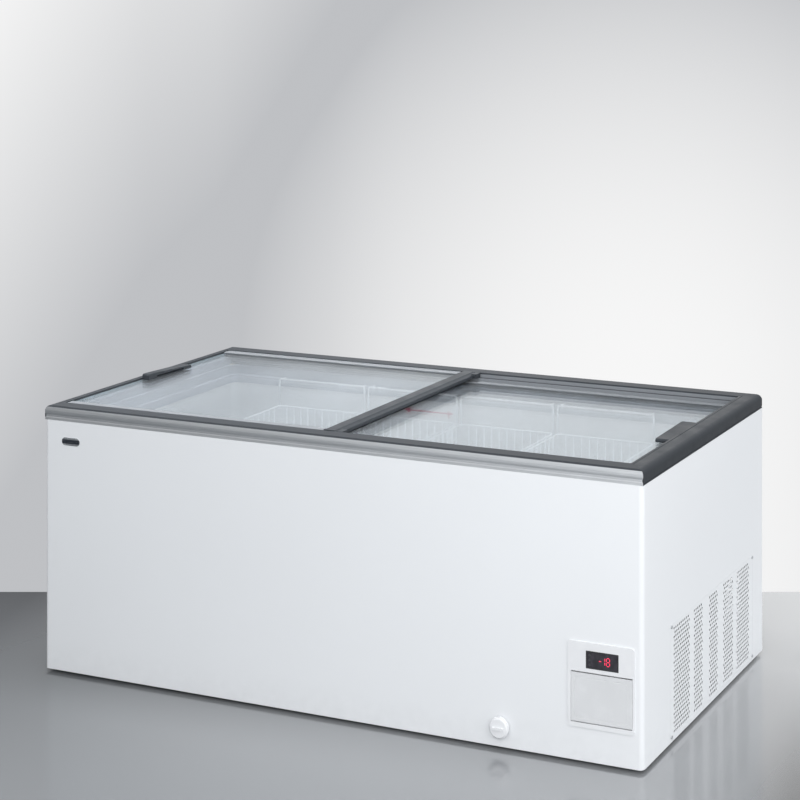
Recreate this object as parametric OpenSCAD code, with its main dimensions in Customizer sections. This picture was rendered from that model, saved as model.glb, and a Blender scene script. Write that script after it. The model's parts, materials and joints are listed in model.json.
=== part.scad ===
// Ice cream dipping cabinet: a chest freezer with two sliding glass lids.
// Millimetres. The origin is on the floor under the middle of the cabinet,
// +X runs to the right seen from the front, -Y is the front and +Z is up.

/* [Cabinet] */
// Width of the cabinet, end cap to end cap
body_w = 1700; // [1660:10:1760]
// Depth of the cabinet without its controls
body_d = 720; // [700:10:740]
// Height of the painted shell between its feet and the top frame
shell_h = 640; // [630:2:660]
// Height of the glide feet
foot_h = 8; // [6:1:12]
// Radius of the bent front corners
corner_r = 12; // [8:1:16]

/* [Top frame] */
// Height of the rails and end caps
frame_h = 36; // [34:1:40]
// Depth of the flat top of each rail
rail_lip = 40; // [38:1:42]
// Width of each ledge that a lid runs on
ledge_w = 8; // [7:0.5:9]
// Height difference between the two lid tracks
track_step = 20; // [19.5:0.5:22]
// Width of the left end cap's top
left_lip = 28; // [24:1:30]
// Width of the right end cap
cap_w = 50; // [48:1:52]

/* [Storage tub] */
// Thickness of the insulated walls
wall_t = 70; // [68:1:72]
// Height of the tub floor above the ground
tub_floor_z = 78; // [74:1:84]
// Left end of the machine bay under the raised floor
bay_x = 440; // [430:5:460]
// Height of the machine bay above the ground
bay_h = 300; // [298:1:310]

/* [Lids] */
// Thickness of the lid glass
glass_t = 4; // [3:0.5:4]
// Width of the crossbar on the upper lid
bar_w = 50; // [46:1:56]
// How far the upper lid's crossbar reaches right of the middle
bar_reach = 12; // [8:1:20]
// Length of each lid handle
grip_l = 160; // [140:2:170]

/* [Baskets] */
// Number of hanging baskets
basket_count = 4; // [2:1:4]
// Spacing of the baskets
basket_pitch = 300; // [290:5:310]
// Depth of a basket below its rim
basket_h = 165; // [130:5:170]

/* [Controls] */
// Width of the control bezel
bezel_w = 168; // [166:1:176]
// Height of the control bezel
bezel_h = 195; // [192:1:204]
// Distance from the cabinet's right side to the bezel
bezel_inset = 21; // [18:1:26]
// Height of the bezel's lower edge above the ground
bezel_z = 85; // [80:1:88]

/* [Grille] */
// Diameter of one vent hole
vent_d = 6.6; // [5:0.1:7]
// Spacing of the vent holes
vent_pitch = 10; // [9.5:0.1:10.5]

/* [Hidden] */

$fn = 64;
cut = 1;
sheet = 1;
liner_t = 1.2;

// Planes of the cabinet
x0 = -body_w / 2;
x1 = body_w / 2;
y0 = -body_d / 2;
y1 = body_d / 2;
shell_z = foot_h + shell_h;
rear_inset = 4;
rear_y = y1 - rear_inset;
inside_y = rear_y - 3 * sheet;

// Planes of the tub
tub_x = body_w / 2 - wall_t;
tub_y = body_d / 2 - wall_t;
tub_r = 20;
step_x = bay_x - 40;
step_z = foot_h + bay_h + 60;
collar_h = 48;
collar_z = shell_z - collar_h;
collar_t = 24;
shelf_h = 22;
shelf_w = 12;
shelf_z = collar_z + shelf_h;

// Planes of the lid tracks
flange_t = 3;
low_track_z = shell_z + flange_t;
high_track_z = low_track_z + track_step;
high_y = body_d / 2 - rail_lip;
low_y = high_y - ledge_w;
rail_inner_y = low_y - ledge_w;
rail_x0 = x0 + left_lip;
rail_x1 = x1 - cap_w;

// Lids
side_gap = 0.6;
glide_gap = 0.1;
glide_t = 0.5;
strip_h = 10.4;
strip_w = 24;
slot_lift = 3.4;
strip_bite = 8;
high_glass_z = high_track_z + glide_gap + glide_t + slot_lift;
low_glass_z = low_track_z + glide_gap + glide_t + slot_lift;
high_lid_x0 = rail_x0 + side_gap;
high_lid_x1 = bar_reach;
low_lid_x0 = bar_reach - bar_w - 2;
low_lid_x1 = rail_x1 - side_gap;
low_bar_w = 16;

// Machine bay
bay_roof = foot_h + bay_h;
pan_z = foot_h + sheet;

// Controls
bezel_t = 3;
bezel_x1 = x1 - bezel_inset;
bezel_x0 = bezel_x1 - bezel_w;
bezel_mid_x = (bezel_x0 + bezel_x1) / 2;
front_y = y0 - bezel_t;
flap_w = 154;
flap_h = 111;
flap_gap = 0.8;
flap_x0 = bezel_mid_x - flap_w / 2 + 2;
flap_z0 = bezel_z + 13;
box_wall = 2;
box_x0 = flap_x0 - flap_gap;
box_x1 = flap_x0 + flap_w + flap_gap;
box_z0 = flap_z0 - 2.6;
box_z1 = flap_z0 + flap_h + 3;
hinge_y = y0 + 1;
flap_hinge_z = flap_z0 + 3;
hinge_r = 1.4;
display_w = 82;
display_h = 40;
display_x = bezel_x0 + 88;
display_z = bezel_z + 156.5;
key_r = 3;
key_gap = 0.08;
key_x = display_x - 31;
rocker_w = 20;
rocker_h = 28;
rocker_x = bezel_mid_x - 20;
rocker_z = bezel_z + 70;

// Drain
drain_x = 486;
drain_z = 55;
drain_r = 9;
drain_bore = 7;
drain_hole_x = 340;
drain_hole_y = -230;
cap_r = 25;

// Grille
grille_y0 = -213;
grille_y1 = 293;
grille_z0 = foot_h + 8;
grille_z1 = foot_h + 272;
grille_rest = 8;

// Fan and condenser
fan_y = 40;
fan_z = 150;
fan_r = 92;
shaft_r = 3;

// Compressor
comp_x = 570;
comp_y = 60;
deck_z = pan_z + 16;
comp_r = 74;

// Outline with rounded front corners, set in by a margin
module wrap_plan(margin) {
    translate([x0 + corner_r, y0 + margin]) square([body_w - 2 * corner_r, corner_r]);
    translate([x0 + margin, y0 + corner_r]) square([body_w - 2 * margin, body_d - corner_r]);
    for (s = [-1, 1]) {
        translate([s * (body_w / 2 - corner_r), y0 + corner_r]) circle(corner_r - margin);
    }
}

// The same outline, stopped short of the rear panel
module inside_plan() {
    intersection() {
        wrap_plan(sheet);
        translate([x0, y0]) square([body_w, inside_y - y0]);
    }
}

// Rectangle centred on the origin with exact round corners
module round_rect(w, d, r) {
    square([w - 2 * r, d], center = true);
    square([w, d - 2 * r], center = true);
    for (sx = [-1, 1], sy = [-1, 1]) {
        translate([sx * (w / 2 - r), sy * (d / 2 - r)]) circle(r);
    }
}

// A box given by its low and high corners
module span(lo, hi) {
    translate(lo) cube(hi - lo);
}

// A vertical plate in the front plane: a flat shape in X and Z, its front at y
module front_plate(y, t) {
    translate([0, y + t, 0]) rotate([90, 0, 0]) linear_extrude(t) children();
}

// A rod between two points on one axis
module rod_x(x, y, z, l, r) {
    translate([x, y, z]) rotate([0, 90, 0]) cylinder(h = l, r = r);
}

module rod_y(x, y, z, l, r) {
    translate([x, y, z]) rotate([-90, 0, 0]) cylinder(h = l, r = r);
}

module rod_z(x, y, z, l, r) {
    translate([x, y, z]) cylinder(h = l, r = r);
}

// ---------------------------------------------------------------- casing

module outer_wrap() {
    color("white") difference() {
        union() {
            translate([0, 0, foot_h]) linear_extrude(shell_h) difference() {
                wrap_plan(0);
                wrap_plan(sheet);
            }
            // return flanges that the rear panel screws to
            for (s = [-1, 1]) {
                translate([s * (body_w / 2 - 10), inside_y + sheet / 2, foot_h + shell_h / 2])
                    cube([20, sheet, shell_h], center = true);
            }
            // ring behind the vent opening that the grille rests on
            span(
                [x1 - 2 * sheet, grille_y0 - 6, grille_z0 - 6],
                [x1 - sheet, grille_y1 + 6, grille_z1 + 6]
            );
        }
        // control bezel, drain and grille openings
        span(
            [box_x0 - box_wall - 0.3, y0 - cut, box_z0 - box_wall - 0.3],
            [box_x1 + box_wall + 0.3, y0 + 3, bezel_z + bezel_h - 10]
        );
        rod_y(drain_x, y0 - cut, drain_z, 5, drain_r + 1);
        span([x1 - sheet, grille_y0, grille_z0], [x1 + cut, grille_y1, grille_z1]);
        span(
            [x1 - 5, grille_y0 + grille_rest, grille_z0 + grille_rest],
            [x1 + cut, grille_y1 - grille_rest, grille_z1 - grille_rest]
        );
        for (p = grille_screw_places()) {
            rod_x(x1 - 5, p[0], p[1], 8, 1.6);
        }
        for (p = rear_screw_places()) {
            rod_y(p[0], rear_y - 5, p[1], 8, 1.6);
        }
    }
}

// Screws round the rear panel's two ends
function rear_screw_places() = [
    for (s = [-1, 1], i = [0:3]) [s * (body_w / 2 - 12), foot_h + 60 + i * (shell_h - 120) / 3]
];

cover_x0 = bay_x + 30;
cover_x1 = x1 - 30;
cover_z0 = foot_h + 14;
cover_z1 = bay_roof - 16;

function cover_screw_places() = [
    for (x = [cover_x0 + 8, (cover_x0 + cover_x1) / 2, cover_x1 - 8], z = [cover_z0 + 8, cover_z1 - 8])
        [x, z]
];

module rear_panel() {
    color("gainsboro") difference() {
        span([x0 + sheet, rear_y - 2 * sheet, foot_h], [x1 - sheet, rear_y - sheet, shell_z]);
        span([cover_x0 + 16, rear_y - 5, cover_z0 + 16], [cover_x1 - 16, rear_y + 2, cover_z1 - 16]);
        for (p = concat(rear_screw_places(), cover_screw_places())) {
            rod_y(p[0], rear_y - 5, p[1], 8, 1.6);
        }
    }
}

module rear_service_cover() {
    slot_l = 80;
    color("silver") difference() {
        span([cover_x0, rear_y - sheet, cover_z0], [cover_x1, rear_y, cover_z1]);
        for (p = cover_screw_places()) {
            rod_y(p[0], rear_y - 5, p[1], 8, 1.6);
        }
        for (col = [0:2], row = [0:11]) {
            translate([cover_x0 + 36 + col * 100, rear_y - 3, cover_z0 + 78 + row * 14])
                cube([slot_l, 6, 6]);
        }
        // power inlet
        translate([inlet_x, rear_y, inlet_z]) cube([inlet_w, 10, inlet_h], center = true);
    }
}

module pan_head(l) {
    cylinder(h = 2, r = 3.6);
    translate([0, 0, -l]) cylinder(h = l, r = 1.6);
}

module panel_screws() {
    color("dimgray") {
        for (p = rear_screw_places()) {
            translate([p[0], rear_y - sheet, p[1]]) rotate([-90, 0, 0]) pan_head(2);
        }
        for (p = cover_screw_places()) {
            translate([p[0], rear_y, p[1]]) rotate([-90, 0, 0]) pan_head(4);
        }
        for (p = grille_screw_places()) {
            translate([x1, p[0], p[1]]) rotate([0, 90, 0]) pan_head(5);
        }
    }
}

module base_pan() {
    color("silver") difference() {
        translate([0, 0, foot_h]) linear_extrude(sheet) inside_plan();
        for (p = foot_places()) {
            rod_z(p[0], p[1], foot_h - cut, 4, 5);
        }
    }
}

// One foot near each corner and one under the middle of the pan
function foot_places() = concat(
    [[0, 0]],
    [for (sx = [-1, 1], sy = [-1, 1]) [sx * (body_w / 2 - 90), sy * (body_d / 2 - 70)]]
);

module glide_feet() {
    color("dimgray") for (p = foot_places()) {
        translate([p[0], p[1], 0]) rotate_extrude() polygon([
            [0, 0], [24, 0], [25, 1], [25, foot_h - 3], [20, foot_h], [5, foot_h],
            [5, foot_h + sheet], [0, foot_h + sheet]
        ]);
    }
}

// ---------------------------------------------------------------- insulated tub

// The room inside the tub, grown outwards by a margin
module tub_room(margin, top) {
    translate([0, 0, step_z - margin]) linear_extrude(top - step_z + margin)
        round_rect(2 * (tub_x + margin), 2 * (tub_y + margin), tub_r + margin);
    deep_l = step_x + tub_x + 2 * margin;
    translate([(step_x - tub_x) / 2, 0, tub_floor_z - margin])
        linear_extrude(top - tub_floor_z + margin)
            round_rect(deep_l, 2 * (tub_y + margin), tub_r + margin);
}

module inner_tub() {
    color("whitesmoke") difference() {
        union() {
            tub_room(liner_t, collar_z);
            // turned-out rim that carries the collar
            translate([0, 0, collar_z - liner_t]) linear_extrude(liner_t)
                round_rect(2 * (tub_x + collar_t), 2 * (tub_y + collar_t), tub_r + collar_t);
        }
        tub_room(0, collar_z + cut);
        rod_z(drain_hole_x, drain_hole_y, tub_floor_z - 5, 10, drain_r);
    }
}

module tub_collar() {
    color("lightsteelblue") {
        difference() {
            translate([0, 0, collar_z]) linear_extrude(collar_h)
                round_rect(2 * (tub_x + collar_t), 2 * (tub_y + collar_t), tub_r + collar_t);
            translate([0, 0, collar_z - cut]) linear_extrude(collar_h + 2 * cut)
                round_rect(2 * tub_x, 2 * tub_y, tub_r);
            // shelf that the basket hangers rest on
            translate([0, 0, shelf_z]) linear_extrude(collar_h)
                round_rect(2 * (tub_x + shelf_w), 2 * (tub_y + shelf_w), tub_r + shelf_w);
        }
        // ledge under the left end of the upper lid
        span([rail_x0, -rail_inner_y, shell_z], [x0 + cap_w, rail_inner_y, high_track_z - 0.4]);
    }
}

coil_r = 4;
coil_gap = 0.4;
coil_levels_high = [for (i = [0:3]) step_z + 30 + i * 56];
coil_levels_low = [for (i = [0:3]) tub_floor_z + 30 + i * 64];

module insulation_foam() {
    color("khaki") difference() {
        translate([0, 0, pan_z]) linear_extrude(shell_z - pan_z) inside_plan();
        tub_room(liner_t, collar_z - liner_t);
        translate([0, 0, collar_z - liner_t]) linear_extrude(collar_h + 5)
            round_rect(2 * (tub_x + collar_t), 2 * (tub_y + collar_t), tub_r + collar_t);
        // machine bay
        span([bay_x, y0, foot_h], [x1, y1, bay_roof]);
        // channels for the evaporator tube round the tub
        for (z = coil_levels_high) {
            coil_channel(-tub_x, tub_x, z);
        }
        for (z = coil_levels_low) {
            coil_channel(-tub_x, step_x, z);
        }
        span(
            [riser_x - coil_r - coil_gap, tub_y + liner_t, coil_levels_low[0] - coil_r],
            [riser_x + coil_r + coil_gap, tub_y + liner_t + 2 * (coil_r + coil_gap), coil_levels_high[3]]
        );
        // drain pipe channel
        span(
            [drain_hole_x - drain_r - 4, y0, drain_z - drain_r - 2],
            [bay_x + cut, drain_hole_y + drain_r + 4, tub_floor_z - liner_t]
        );
        // suction line and capillary passages to the bay
        for (z = [suction_z, liquid_z]) {
            span(
                [riser_x, tub_y + liner_t, z - coil_r - coil_gap],
                [bay_x + cut, tub_y + liner_t + 2 * (coil_r + coil_gap), z + coil_r + coil_gap]
            );
        }
        // probe passage
        span([bay_x - 12, -8, bay_roof - cut], [bay_x + 60, 8, step_z - liner_t]);
    }
}

// Ring-shaped channel against the outside of the tub
module coil_channel(xa, xb, z) {
    m = liner_t + 2 * (coil_r + coil_gap);
    half = coil_r + coil_gap;
    translate([(xa + xb) / 2, 0, z - half]) linear_extrude(2 * half) difference() {
        square([xb - xa + 2 * m, 2 * (tub_y + m)], center = true);
        round_rect(xb - xa + 2 * liner_t, 2 * (tub_y + liner_t), tub_r + liner_t);
    }
}

// One turn of tube round the tub, with bent corners
module coil_ring(xa, xb, z) {
    off = liner_t + coil_gap + coil_r;
    bend = tub_r + off;
    xm = (xa + xb) / 2;
    half_x = (xb - xa) / 2 + off;
    half_y = tub_y + off;
    translate([xm, 0, z]) {
        for (s = [-1, 1]) {
            rod_x(-half_x + bend, s * half_y, 0, 2 * (half_x - bend), coil_r);
            rod_y(s * half_x, -half_y + bend, 0, 2 * (half_y - bend), coil_r);
        }
        for (q = [0:3]) {
            sx = q == 0 || q == 3 ? 1 : -1;
            sy = q < 2 ? 1 : -1;
            translate([sx * (half_x - bend), sy * (half_y - bend), 0])
                rotate([0, 0, q * 90]) rotate_extrude(angle = 90) translate([bend, 0]) circle(coil_r);
        }
    }
}

riser_x = 200;
coil_y = tub_y + liner_t + coil_gap + coil_r;

module evaporator_coil() {
    color("peru") {
        for (z = coil_levels_high) {
            coil_ring(-tub_x, tub_x, z);
        }
        for (z = coil_levels_low) {
            coil_ring(-tub_x, step_x, z);
        }
        rod_z(riser_x, coil_y, coil_levels_low[0], coil_levels_high[3] - coil_levels_low[0], coil_r);
    }
}

module bay_bulkhead() {
    color("silver") difference() {
        union() {
            span([bay_x, y0 + sheet, pan_z], [bay_x + sheet, inside_y, bay_roof]);
            span([bay_x, y0 + corner_r, bay_roof - sheet], [x1 - sheet, inside_y, bay_roof]);
        }
        rod_x(bay_x - 5, coil_y, suction_z, 20, coil_r + 1);
        rod_x(bay_x - 5, coil_y, liquid_z, 20, capillary_r + 1);
        rod_x(bay_x - 5, -300, drain_z, 20, drain_r + 2);
        rod_z(bay_x + 30, 0, bay_roof - 5, 10, 4);
    }
}

module load_line_mark() {
    mark_w = 155;
    mark_z = collar_z - 30;
    head = 16;
    color("crimson") translate([-123, tub_y, mark_z]) rotate([90, 0, 0]) linear_extrude(0.4) {
        square([mark_w - 2 * head + 2, 3], center = true);
        for (s = [-1, 1]) {
            polygon([[s * mark_w / 2, 0], [s * (mark_w / 2 - head), 6], [s * (mark_w / 2 - head), -6]]);
        }
    }
}

// ---------------------------------------------------------------- top frame

// Section of a hollow lid rail: depth inwards from the face, height above the shell
module rail_section() {
    difference() {
        polygon([
            [0, 0], [0.6, 6], [2.5, 8], [2.5, 13], [0.8, 15], [0, 19], [0, 24], [2, 32], [5, frame_h],
            [rail_lip - 1, frame_h], [rail_lip, frame_h - 1],
            [rail_lip, flange_t + track_step], [rail_lip + ledge_w, flange_t + track_step],
            [rail_lip + ledge_w, flange_t], [rail_lip + 2 * ledge_w, flange_t],
            [rail_lip + 2 * ledge_w, 0]
        ]);
        translate([6, flange_t]) square([rail_lip - 9, frame_h - 2 * flange_t]);
        translate([rail_lip, flange_t]) square([ledge_w - 2.5, track_step - 2.5]);
    }
}

// Radius of the nose along the outside of an end cap of width w
function nose_r(w) = min(15, w / 2);

// Plan of an end cap mitred into both rails, outside at x = 0: gap widens it, over runs it outward
module cap_plan(w, gap, over) {
    slope = rail_lip / w;
    polygon([
        [-over, y0 - (over + gap) * slope], [w + gap, y0 + rail_lip],
        [w + gap, y1 - rail_lip], [-over, y1 + (over + gap) * slope]
    ]);
}

// Room that a left-hand end cap of width w takes from the end of a rail, nosed like the cap
module cap_room(w) {
    nose = nose_r(w);
    translate([x0, 0, shell_z - cut]) linear_extrude(frame_h + 2 * cut) cap_plan(w, 0.1, cut);
    translate([x0, y1 + cut, shell_z + frame_h - nose]) rotate([90, 0, 0])
        linear_extrude(body_d + 2 * cut) difference() {
            translate([-cut, 0]) square(nose + cut);
            translate([nose, 0]) circle(nose);
        }
}

module front_rail() {
    color("silver") difference() {
        translate([x0, y0, shell_z]) rotate([90, 0, 90]) linear_extrude(body_w) rail_section();
        cap_room(left_lip);
        mirror([1, 0, 0]) cap_room(cap_w);
    }
}

module rear_rail() {
    mirror([0, 1, 0]) front_rail();
}

// Bull-nosed section of an end cap: x inwards from the outside, height above the shell
module cap_section(w) {
    nose = nose_r(w);
    difference() {
        union() {
            square([w, frame_h - nose]);
            translate([nose, 0]) square([w - nose, frame_h]);
            translate([nose, frame_h - nose]) circle(nose);
        }
        // shadow groove along the foot of the cap
        translate([-cut, 3]) square([cut + 1.5, 2.5]);
        // groove along the inner edge of the top
        translate([w - 9, frame_h - 1.2]) square([1.6, 2.5]);
    }
}

// End cap with its outside on the left
module end_cap(w) {
    intersection() {
        translate([x0, y1, shell_z]) rotate([90, 0, 0]) linear_extrude(body_d) cap_section(w);
        translate([x0, 0, shell_z]) linear_extrude(frame_h) cap_plan(w, 0, 0);
    }
}

module left_end_cap() {
    color("dimgray") end_cap(left_lip);
}

module right_end_cap() {
    color("dimgray") mirror([1, 0, 0]) end_cap(cap_w);
}

// ---------------------------------------------------------------- lids

// Edge profile along the front and back of a lid, open on its inner side for the glass
module lid_edges(xa, xb, half_y, track_z, width) {
    base_z = track_z + glide_gap + glide_t;
    glass_z = base_z + slot_lift;
    for (s = [-1, 1]) {
        mirror([0, s > 0 ? 1 : 0, 0]) difference() {
            span([xa, -half_y + side_gap, base_z], [xb, -half_y + side_gap + width, base_z + strip_h]);
            span(
                [xa - cut, -half_y + side_gap + width - strip_bite, glass_z],
                [xb + cut, -half_y + side_gap + width + cut, glass_z + glass_t]
            );
            // drip groove along the top
            span(
                [xa - cut, -half_y + side_gap + 4, base_z + strip_h - 1],
                [xb + cut, -half_y + side_gap + 6, base_z + strip_h + cut]
            );
        }
    }
}

module lid_glass(xa, xb, half_y, glass_z, width) {
    reach = half_y - side_gap - width + strip_bite;
    span([xa, -reach, glass_z], [xb, reach, glass_z + glass_t]);
}

module lid_glides(xa, xb, half_y, track_z) {
    pad_l = 60;
    for (x = [xa + 30, xb - 30 - pad_l], s = [-1, 1]) {
        translate([x + pad_l / 2, s * (half_y - ledge_w / 2 - side_gap), track_z + glide_gap + glide_t / 2])
            cube([pad_l, ledge_w - 2, glide_t], center = true);
    }
}

bar_x0 = high_lid_x1 - bar_w;
bar_slot = 22;
low_strip_w = 16;

module left_lid_glass() {
    color("lightcyan", 0.4)
        lid_glass(high_lid_x0, bar_x0 + bar_slot, high_y, high_glass_z, strip_w);
}

module left_lid_edges() {
    color("gray") lid_edges(high_lid_x0, bar_x0, high_y, high_track_z, strip_w);
}

// Section of the upper crossbar: across the bar, height above the upper track
module high_bar_section() {
    difference() {
        polygon([
            [0, 1.2], [bar_w, 1.2], [bar_w, 9], [bar_w - 9, 12.5], [bar_w - 11, 14.5],
            [11, 14.5], [9, 12.5], [0, 9]
        ]);
        translate([-cut, high_glass_z - high_track_z]) square([bar_slot + cut, glass_t]);
        translate([bar_slot + 6, 4]) square([bar_w - bar_slot - 12, 5]);
    }
}

module left_lid_bar() {
    half = high_y - side_gap;
    block_w = 16;
    block_d = 22;
    base_z = high_track_z + glide_gap + glide_t;
    color("dimgray") {
        translate([bar_x0, half, high_track_z]) rotate([90, 0, 0])
            linear_extrude(2 * half) high_bar_section();
        // corner blocks that guide the lid's inner end
        for (s = [-1, 1]) {
            mirror([0, s > 0 ? 1 : 0, 0])
                span(
                    [bar_reach - 4, -half, base_z],
                    [bar_reach - 4 + block_w, -half + block_d, base_z + 12.5]
                );
        }
    }
}

// Wedge grip seen from the side: length along the lid's end, low end first, and height above the glass
module grip_side(length, low, high) {
    polygon([
        [0, 0], [length, 0], [length, high - 3], [length - 3, high], [length - 14, high], [3, low], [0, low - 3]
    ]);
}

module left_lid_handle() {
    low_end_y = 118;
    grip_w = 32;
    x = high_lid_x0 + 1;
    z = high_glass_z + glass_t;
    color("dimgray") difference() {
        translate([x, low_end_y, z]) rotate([90, 0, -90]) mirror([0, 0, 1])
            linear_extrude(grip_w) grip_side(grip_l, 9, 16);
        // side that narrows towards the high end
        translate([x + grip_w, low_end_y, z - cut]) rotate(-90 - 3.2) cube([grip_l + 10, 20, 20]);
        // finger hollow under the inner edge
        translate([x + grip_w - 16, low_end_y - grip_l + 30, z + 3]) cube([20, grip_l - 60, 3]);
    }
}

module left_lid_glides() {
    color("ivory") lid_glides(high_lid_x0, bar_x0, high_y, high_track_z);
}

module right_lid_glass() {
    color("lightcyan", 0.4)
        lid_glass(low_lid_x0 + 6, low_lid_x1 - 6, low_y, low_glass_z, low_strip_w);
}

module right_lid_edges() {
    z = low_track_z + glide_gap + glide_t;
    inner = low_y - side_gap - low_strip_w;
    color("gray") {
        lid_edges(low_lid_x0 + low_bar_w, low_lid_x1, low_y, low_track_z, low_strip_w);
        // strip across the right end
        difference() {
            span([low_lid_x1 - 12, -inner, z], [low_lid_x1, inner, z + strip_h]);
            span(
                [low_lid_x1 - 13, -inner - cut, low_glass_z],
                [low_lid_x1 - 6, inner + cut, low_glass_z + glass_t]
            );
        }
    }
}

module right_lid_bar() {
    z0 = low_track_z + 1.2;
    z1 = high_track_z - 0.2;
    half = low_y - side_gap;
    color("dimgray") difference() {
        span([low_lid_x0, -half, z0], [low_lid_x0 + low_bar_w, half, z1]);
        span(
            [low_lid_x0 + 6, -half + low_strip_w - strip_bite, low_glass_z],
            [low_lid_x0 + low_bar_w + cut, half - low_strip_w + strip_bite, low_glass_z + glass_t]
        );
    }
}

module right_lid_handle() {
    low_end_y = -66;
    grip_w = 46;
    x = low_lid_x1 - 13;
    z = low_glass_z + glass_t;
    rise = high_track_z - z - 0.4;
    color("dimgray") difference() {
        translate([x, low_end_y, z]) rotate([90, 0, 90]) mirror([0, 0, 1])
            linear_extrude(grip_w) grip_side(grip_l, rise - 2.5, rise);
        // finger hollow under the inner edge
        translate([x - grip_w - cut, low_end_y + 30, z + 2.5]) cube([16 + cut, grip_l - 60, 3]);
    }
}

module right_lid_glides() {
    color("ivory") lid_glides(low_lid_x0 + low_bar_w, low_lid_x1, low_y, low_track_z);
}

// ---------------------------------------------------------------- grille

// Vent bands: distance of each band's middle from the grille's front edge, and columns
vent_bands = [[62, 9], [158, 5], [250, 5], [343, 6], [439, 8]];
vent_rows = 25;

function grille_screw_places() = [
    for (y = [grille_y0 + 4, grille_y1 - 4], z = [grille_z0 + 4, grille_z1 - 4]) [y, z]
];

module side_grille() {
    color("white") difference() {
        span([x1 - sheet, grille_y0 + 0.4, grille_z0 + 0.4], [x1, grille_y1 - 0.4, grille_z1 - 0.4]);
        translate([x1 - 3, 0, 0]) rotate([90, 0, 90]) linear_extrude(6) {
            for (band = vent_bands, c = [0:band[1] - 1], row = [0:vent_rows - 1]) {
                stagger = row % 2 == 0 ? 0 : vent_pitch / 2;
                translate([
                    grille_y0 + band[0] + (c - (band[1] - 0.5) / 2) * vent_pitch + stagger,
                    grille_z0 + 12 + row * vent_pitch
                ]) circle(d = vent_d, $fn = 16);
            }
            for (p = grille_screw_places()) {
                translate(p) circle(1.6);
            }
        }
    }
}

// ---------------------------------------------------------------- controls

module control_bezel() {
    box_y = y0 + 46;
    color("white") difference() {
        union() {
            front_plate(front_y, bezel_t) translate([bezel_mid_x, bezel_z + bezel_h / 2])
                round_rect(bezel_w, bezel_h, 6);
            span(
                [box_x0 - box_wall, y0, box_z0 - box_wall],
                [box_x1 + box_wall, box_y, box_z1 + box_wall]
            );
        }
        span([box_x0, front_y - cut, box_z0], [box_x1, box_y - box_wall, box_z1]);
        // display cut-out
        span(
            [display_x - display_w / 2, front_y - cut, display_z - display_h / 2],
            [display_x + display_w / 2, y0 + cut, display_z + display_h / 2]
        );
        // hinge pin holes and the power switch cut-out
        rod_x(box_x0 - 5, hinge_y, flap_hinge_z, box_x1 - box_x0 + 10, hinge_r);
        span(
            [rocker_x - rocker_w / 2 - 3, box_y - 5, rocker_z - rocker_h / 2 - 3],
            [rocker_x + rocker_w / 2 + 3, box_y + 5, rocker_z + rocker_h / 2 + 3]
        );
    }
}

module flap_hinge_pins() {
    reach = 6;
    color("silver") {
        rod_x(flap_x0 - flap_gap - 2, hinge_y, flap_hinge_z, reach + 2 + flap_gap, hinge_r);
        rod_x(flap_x0 + flap_w - reach, hinge_y, flap_hinge_z, reach + 2 + flap_gap, hinge_r);
    }
}

module service_flap() {
    knuckle_l = 8;
    knuckles = [flap_x0, flap_x0 + flap_w - knuckle_l];
    color("whitesmoke") difference() {
        union() {
            span([flap_x0, front_y, flap_z0], [flap_x0 + flap_w, y0, flap_z0 + flap_h]);
            for (x = knuckles) {
                rod_x(x, hinge_y, flap_hinge_z, knuckle_l, 3);
            }
        }
        for (x = knuckles) {
            rod_x(x - cut, hinge_y, flap_hinge_z, knuckle_l + 2 * cut, hinge_r + 0.05);
        }
        // raised panel outline
        difference() {
            span(
                [flap_x0 + 9, front_y - cut, flap_z0 + 9],
                [flap_x0 + flap_w - 9, front_y + 0.8, flap_z0 + flap_h - 9]
            );
            span(
                [flap_x0 + 11, front_y - 2 * cut, flap_z0 + 11],
                [flap_x0 + flap_w - 11, front_y + 2, flap_z0 + flap_h - 11]
            );
        }
    }
}

key_z = [for (i = [-1:1]) display_z + i * 11];

module controller_body() {
    face_y = front_y - 0.6;
    back_y = y0 + 60;
    color("black") difference() {
        span(
            [display_x - display_w / 2, face_y, display_z - display_h / 2],
            [display_x + display_w / 2, back_y, display_z + display_h / 2]
        );
        span(
            [display_x - display_w / 2 + 2, face_y + 4, display_z - display_h / 2 + 2],
            [display_x + display_w / 2 - 2, back_y - 2, display_z + display_h / 2 - 2]
        );
        // window recess, and the holes that the keys slide in
        front_plate(face_y - cut, 1 + cut) translate([display_x, display_z])
            square([display_w - 5, display_h - 5], center = true);
        for (z = key_z) {
            rod_y(key_x, face_y - cut, z, 8, key_r + key_gap);
        }
    }
}

module display_window() {
    color("black") difference() {
        front_plate(front_y - 0.6, 1) translate([display_x, display_z])
            square([display_w - 5, display_h - 5], center = true);
        for (z = key_z) {
            rod_y(key_x, front_y - 5, z, 8, key_r + key_gap);
        }
    }
}

// One seven-segment digit, from the list of its lit segments
module seven_segment(lit) {
    w = 8;
    h = 9;
    t = 1.8;
    places = [
        [0, h, 0], [w / 2, h / 2, 1], [w / 2, -h / 2, 1], [0, -h, 0],
        [-w / 2, -h / 2, 1], [-w / 2, h / 2, 1], [0, 0, 0]
    ];
    for (i = lit) {
        p = places[i];
        translate([p[0], p[1]]) square(p[2] == 1 ? [t, h - t - 0.6] : [w - t - 0.6, t], center = true);
    }
}

module display_digits() {
    color("red") front_plate(front_y - 0.7, 0.1) {
        translate([display_x + 3, display_z]) seven_segment([1, 2]);
        translate([display_x + 15, display_z]) seven_segment([0, 1, 2, 3, 4, 5, 6]);
        translate([display_x - 5, display_z]) seven_segment([6]);
    }
}

module control_board() {
    color("darkgreen") span(
        [display_x - display_w / 2 + 4, y0 + 12, display_z - display_h / 2 + 4],
        [display_x + display_w / 2 - 4, y0 + 13.6, display_z + display_h / 2 - 4]
    );
}

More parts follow.
